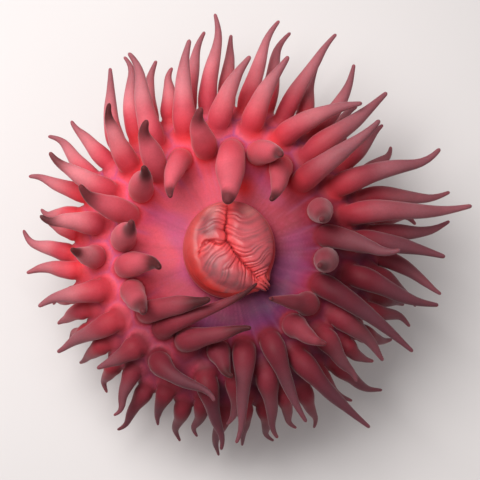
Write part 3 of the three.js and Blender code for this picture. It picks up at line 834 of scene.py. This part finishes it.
def discColours(place, info):
    # pink on one side and violet on the other, with painted shade darkening it towards the lower right and
    # the bottom, fine rays, a red glow round each root and a red patch of painted light
    x, y = place[:, 0], place[:, 1]
    # violet towards the lower right and bottom, partly the disc's own colour and partly painted shade
    purple = smoothStep(-4, 24, 0.5 * x - 0.87 * y + 3 * ripple(place, 26, 31))
    # painted shade: darker towards the lower right, and on the crown also towards the bottom
    dark = smoothStep(-16, 26, 0.85 * x - 0.52 * y)
    shaded = np.maximum(dark, smoothStep(4, 28, -y))
    onCrown = smoothStep(runs["discEdge"] - 1, runs["discEdge"] + 4, info["run"])
    around = np.arctan2(y - body["mouth"][1], x - body["mouth"][0])
    rays = np.column_stack([np.cos(around), np.sin(around)]) * 26
    streak = 0.6 * ripple(rays, 1.7, 33, 14) + 0.4 * ripple(rays, 0.8, 34, 14)
    onRays = info["disc"] * smoothStep(0, 1, np.abs(streak))
    cloud = 0.4 * info["disc"] * smoothStep(0.45, 0.95, cloudy(place, 11, 37))
    patch = cloudy(place, 17, 36)
    nearRoot = np.exp(-info["gap"] / 2.4) * (info["tentacle"] < 0)
    return layered(
        allOver("discPink", place), ("discPaintedShade", dark), ("discVioletShaded", purple * (1 - 0.6 * onCrown)),
        ("discMauve", 0.34 * onRays * (streak > 0) * (1 - 0.6 * dark) * (1 - 0.4 * purple)),
        ("web", cloud * (1 - 0.6 * np.maximum(dark, purple))),
        ("black", 0.12 * onRays * (streak < 0)),
        ("rootGlow", nearRoot * (0.12 + 0.55 * patch) * (1 - 0.6 * dark)),
        # painted shade on the crown between the roots, on its lower and right sides
        ("crownPaintedShade", 0.85 * onCrown * shaded * (1 - 0.8 * nearRoot)),
        # a bright red patch on the disc, partly its own orange-red and partly painted light over a tentacle's
        # shadow
        *patchesOf("red", "discPaintedGlow", 0.85, place),
        ("web", 0.5 * info["web"] * (1 - 0.7 * patch) * (1 - 0.8 * shaded)))


def lipColours(place, info):
    x, y = place[:, 0], place[:, 1]
    rim = info["rim"]
    return layered(
        allOver("lipMauve", place), ("lipRidge", info["ridge"]), ("lipOrange", rim),
        # the rim deeper red towards the bottom, partly its own colour and partly painted shade
        ("lipRim", rim * smoothStep(-7, 7, 0.35 * x - 0.95 * y)), ("lipBand", 0.85 * info["band"]),
        ("lipBand", 0.6 * info["stripe"] * (1 - 0.7 * rim)),
        ("lipBand", 0.5 * info["upper"] * bell(x + 3.8, 1.7) * (1 - rim)),
        # two painted highlights on the upper part of the lips
        *patchesOf("pale", "lipPaintedHighlight", 0.55, place), ("lipGlow", 0.75 * info["glow"]),
        # the creases and the slit dark red, partly the flesh's own colour and partly painted shade
        ("lipCreaseRedShade", 0.8 * info["crease"]), ("slitRedShade", 0.8 * info["slit"]))


def columnColours(place, info):
    colour = layered(allOver("column", place), ("columnLow", 1 - smoothStep(2, 14, place[:, 2])),
                     ("wart", 0.75 * info["wart"]))
    return colour * (1 + 0.1 * ripple(place, 8, 35))[:, None]


def tentacleColours(place, along, one, seed):
    # red to rose on the left, darker on the right and lower right as painted shade, each with a tone of its
    # own
    tone = one["tone"]
    below = smoothStep(-0.65, 0.6, math.cos(one["bearing"] + 1.05))
    beside = smoothStep(0.1, 1.4, math.cos(one["bearing"] - 0.17))
    # painted shade by where each tentacle stands, less of it on the redder ones
    side = (0.8 * max(below, beside) + 0.2 * tone) * (0.88 if one["redder"] else 1)
    blotch = cloudy(place, 9, seed)
    near = colours["tentacleRed"] * (1 - side) + colours["tentaclePaintedShade"] * side
    outer = colours["tentacleRose"] * (1 - side) + colours["tentacleOuterPaintedShade"] * side
    fade = smoothStep(0.08, 0.55, along + 0.12 * (blotch - 0.5))[:, None]
    fade *= 0.25 if one["arched"] else 1
    if one["darkTip"]:
        tipDark = smoothStep(0, 0.75 * (1 - one["tipFrom"]), along - one["tipFrom"] + 0.06 * blotch)
        tip = ("tipBrown", tipDark * (0.8 + 0.2 * tone) * (0.7 if one["redder"] else 1))
    else:
        tip = ("tipGrey", smoothStep(0.35, 1, along) * 0.75 * (1 - 0.6 * below))
    glow = np.exp(-along * one["length"] / 6) * (0.25 + 0.55 * cloudy(place, 17, 36)) * (1 - 0.85 * below)
    colour = layered(near * (1 - fade) + outer * fade, tip, ("rootGlow", glow))
    return colour * (1 + 0.12 * (blotch - 0.5) + 0.1 * (tone - 0.5))[:, None]


def paintSkin(skin, info, lines):
    # colours worked out for every point and kept on the mesh
    place = info["place"]
    colour = discColours(place, info)
    onLips = info["lip"][:, None]
    colour = colour * (1 - onLips) + lipColours(place, info) * onLips
    onColumn = smoothStep(runs["margin"] - 1, runs["margin"] + 3, info["run"])[:, None]
    colour = colour * (1 - onColumn) + columnColours(place, info) * onColumn
    for k, one in enumerate(lines):
        mine = info["tentacle"] == k
        colour[mine] = tentacleColours(place[mine], info["along"][mine], one, 40 + k)
    pigment = np.column_stack([np.clip(colour, 0, 1), np.ones(len(place))])
    paint = skin.data.color_attributes.new("pigment", "FLOAT_COLOR", "POINT")
    paint.data.foreach_set("color", pigment.astype(np.float32).ravel())


def mathNode(tree, operation, *values):
    # a maths node, each of its inputs joined to a socket or set to a number
    node = tree.nodes.new("ShaderNodeMath")
    node.operation = operation
    for entry, value in zip(node.inputs, values):
        if isinstance(value, bpy.types.NodeSocket):
            tree.links.new(value, entry)
        else:
            entry.default_value = value
    return node.outputs[0]


def mottleGroup():
    # soft blotches and fine grain in a surface's colour, with a height for its bump
    group = bpy.data.node_groups.new("flesh mottle", "ShaderNodeTree")
    addSockets(group, "INPUT", Colour="Color", Blotch="Float", Grain="Float", Strength="Float",
               Smoothest="Float")
    addSockets(group, "OUTPUT", Colour="Color", Height="Float", Roughness="Float")
    given, result, where, blotch, grain, tint = newNodes(
        group, "NodeGroupInput", "NodeGroupOutput", "ShaderNodeTexCoord", "ShaderNodeTexNoise",
        "ShaderNodeTexNoise", "ShaderNodeVectorMath")
    setInputs(blotch, {"Detail": 4})
    setInputs(grain, {"Detail": 3})
    both = mathNode(group, "ADD", blotch.outputs["Fac"], grain.outputs["Fac"])
    centred = mathNode(group, "SUBTRACT", both, 1)
    scaled = mathNode(group, "MULTIPLY_ADD", centred, given.outputs["Strength"], 1)
    rough = mathNode(group, "MULTIPLY_ADD", blotch.outputs["Fac"], 0.45, given.outputs["Smoothest"])
    tint.operation = "SCALE"
    group.links.new(scaled, tint.inputs["Scale"])
    group.links.new(rough, result.inputs["Roughness"])
    joinNodes(group, (where, "Object", blotch, "Vector"), (where, "Object", grain, "Vector"),
              (given, "Blotch", blotch, "Scale"), (given, "Grain", grain, "Scale"),
              (given, "Colour", tint, "Vector"), (tint, "Vector", result, "Colour"),
              (grain, "Fac", result, "Height"))
    return group


finishes = {
    "column": {"blotch": 260, "grain": 1400, "strength": 0.5, "smoothest": 0.3, "bump": 0.35,
               "depth": 0.25, "sheen": 0.1, "specular": 0.3, "scatter": 0.15},
    "disc": {"blotch": 300, "grain": 2200, "strength": 0.28, "smoothest": 0.4, "bump": 0.22,
             "depth": 0.15, "sheen": 0.05, "specular": 0.22, "scatter": 0.2},
    "lip": {"blotch": 380, "grain": 2600, "strength": 0.3, "smoothest": 0.2, "bump": 0.2,
            "depth": 0.12, "sheen": 0.15, "specular": 0.3, "scatter": 0.2},
    "tentacle": {"blotch": 330, "grain": 1900, "strength": 0.25, "smoothest": 0.4, "bump": 0.15,
                 "depth": 0.1, "sheen": 0.2, "specular": 0.15, "scatter": 0.45},
}
# how far light spreads in the flesh, red the furthest, and the soft shine at its edges
light = {"spread": (1.0, 0.35, 0.3), "scale": 2.6, "sheenRoughness": 0.35, "sheenTint": (1, 0.82, 0.84, 1)}


def plainMaterial(name):
    # a new material with nothing but its shader
    material = bpy.data.materials.new(name)
    material.use_nodes = True
    tree = material.node_tree
    tree.nodes.clear()
    shader, output = newNodes(tree, "ShaderNodeBsdfPrincipled", "ShaderNodeOutputMaterial")
    joinNodes(tree, (shader, "BSDF", output, "Surface"))
    return material, shader


def fleshMaterial(name, mottle):
    finish = finishes[name]
    material, shader = plainMaterial(name + "_flesh")
    tree = material.node_tree
    pigment, effect, bump = newNodes(tree, "ShaderNodeAttribute", "ShaderNodeGroup", "ShaderNodeBump")
    pigment.attribute_name = "pigment"
    effect.node_tree = mottle
    setInputs(effect, {name: finish[name.lower()] for name in ("Blotch", "Grain", "Strength", "Smoothest")})
    setInputs(bump, {"Strength": finish["bump"], "Distance": finish["depth"] * mm})
    setInputs(shader, {
        "Subsurface Weight": finish["scatter"], "Subsurface Radius": light["spread"],
        "Subsurface Scale": light["scale"] * mm, "Specular IOR Level": finish["specular"],
        "Sheen Weight": finish["sheen"], "Sheen Roughness": light["sheenRoughness"],
        "Sheen Tint": light["sheenTint"],
    })
    joinNodes(tree, (pigment, "Color", effect, "Colour"), (effect, "Colour", shader, "Base Color"),
              (effect, "Roughness", shader, "Roughness"), (effect, "Height", bump, "Height"),
              (bump, "Normal", shader, "Normal"))
    return material


def assignMaterials(skin, info):
    slots = {name: number for number, name in enumerate(finishes)}
    chosen = np.full(len(skin.data.polygons), slots["column"])
    for i, face in enumerate(skin.data.polygons):
        first = face.vertices[0]
        if i >= info["bodyFaces"] and (info["tentacle"][list(face.vertices)] >= 0).all():
            chosen[i] = slots["tentacle"]
        elif info["lip"][first] > 0.5:
            chosen[i] = slots["lip"]
        elif info["run"][first] < runs["margin"]:
            chosen[i] = slots["disc"]
    skin.data.polygons.foreach_set("material_index", chosen.astype(np.int32))
    skin.data.polygons.foreach_set("use_smooth", np.ones(len(chosen), bool))


mottle = mottleGroup()
materials = {name: fleshMaterial(name, mottle) for name in finishes}
lines = tentacleLines()
giveWay(lines)
skin, info = buildSkin(lines, materials["tentacle"])
for material in materials.values():
    skin.data.materials.append(material)
assignMaterials(skin, info)
paintSkin(skin, info, lines)
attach(skin, "root")
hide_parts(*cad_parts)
print("skin painted")


view = {"target": (3.9, 2.6, 36), "elevation": 80, "distance": 350, "lens": 101, "sensor": 36, "nearest": 10}
studio = {
    "key": {"place": (-90, 72, 280), "size": 190, "power": 1.15},
    "fill": {"place": (300, -200, 330), "size": 320, "power": 0.3},
    "aim": (0, 0, 35), "lightColour": (1, 0.97, 0.95), "world": 0.36, "worldColour": (1, 0.98, 0.98, 1),
    "floorSide": 4000, "floorColour": (0.62, 0.6, 0.6, 1), "floorRoughness": 0.8,
}


def addCamera():
    data = bpy.data.cameras.new("camera")
    data.lens = view["lens"]
    data.sensor_width = view["sensor"]
    data.clip_start = view["nearest"] * mm
    camera = addObject("camera", data)
    turn = math.radians(view["elevation"])
    target = Vector(view["target"]) * mm
    camera.location = target + Vector((0, -math.cos(turn), math.sin(turn))) * view["distance"] * mm
    camera.rotation_euler = (math.pi / 2 - turn, 0, 0)
    bpy.context.scene.camera = camera


def addLight(name, place, size, power):
    data = bpy.data.lights.new(name, "AREA")
    data.energy = power
    data.size = size * mm
    data.color = studio["lightColour"]
    lamp = addObject(name, data)
    lamp.location = Vector(place) * mm
    lamp.visible_camera = False
    lamp.rotation_euler = (Vector(studio["aim"]) * mm - lamp.location).to_track_quat("-Z", "Y").to_euler()


def addFloor():
    side = studio["floorSide"] * mm
    corners = [(-side, -side, 0), (side, -side, 0), (side, side, 0), (-side, side, 0)]
    floor = addMesh("floor", corners, [], [(0, 1, 2, 3)])
    material, shader = plainMaterial("pale_floor")
    setInputs(shader, {"Base Color": studio["floorColour"], "Roughness": studio["floorRoughness"]})
    floor.data.materials.append(material)


addCamera()
for name in ("key", "fill"):
    addLight(name, **studio[name])
addFloor()
world = bpy.data.worlds.new("studio")
world.use_nodes = True
setInputs(world.node_tree.nodes["Background"], {"Color": studio["worldColour"], "Strength": studio["world"]})
bpy.context.scene.world = world
bpy.context.scene.view_settings.view_transform = "Standard"
print("camera, lights and floor set")
